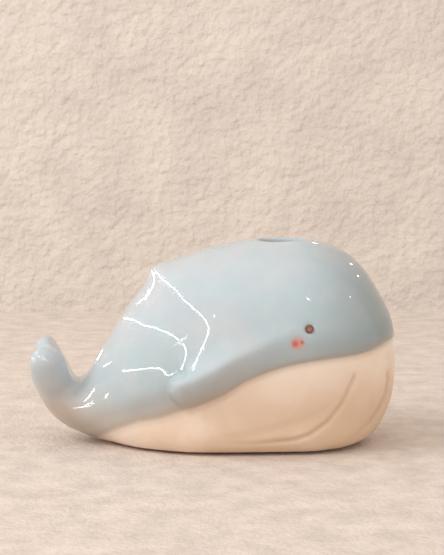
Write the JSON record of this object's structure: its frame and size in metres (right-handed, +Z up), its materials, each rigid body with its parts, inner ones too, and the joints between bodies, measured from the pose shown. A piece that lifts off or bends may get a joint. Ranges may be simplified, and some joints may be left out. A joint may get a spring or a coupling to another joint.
{
  "type": "whale figurine",
  "caption": "Hollow glazed ceramic whale ornament with an upturned tail, soft flippers, a pleated cream belly, a flat foot and a round mouth on top for a stem.",
  "frame": {"origin": "on the standing surface, below the middle of the overall box", "axes": "+X towards the snout, +Y to the whale's left, +Z up"},
  "size_m": [0.1198, 0.0716, 0.0679],
  "materials": {
    "blue_glaze": "glossy pale grey-blue glaze",
    "cream_glaze": "satin cream glaze",
    "eye_bead": "glossy brown bead"
  },
  "bodies": {
    "root": {"back_shell": "blue_glaze", "tail_stock": "blue_glaze", "right_fluke": "blue_glaze", "left_fluke": "blue_glaze", "right_flipper": "blue_glaze", "left_flipper": "blue_glaze", "belly_shell": "cream_glaze", "right_eye": "eye_bead", "left_eye": "eye_bead"}
  },
  "joints": []
}
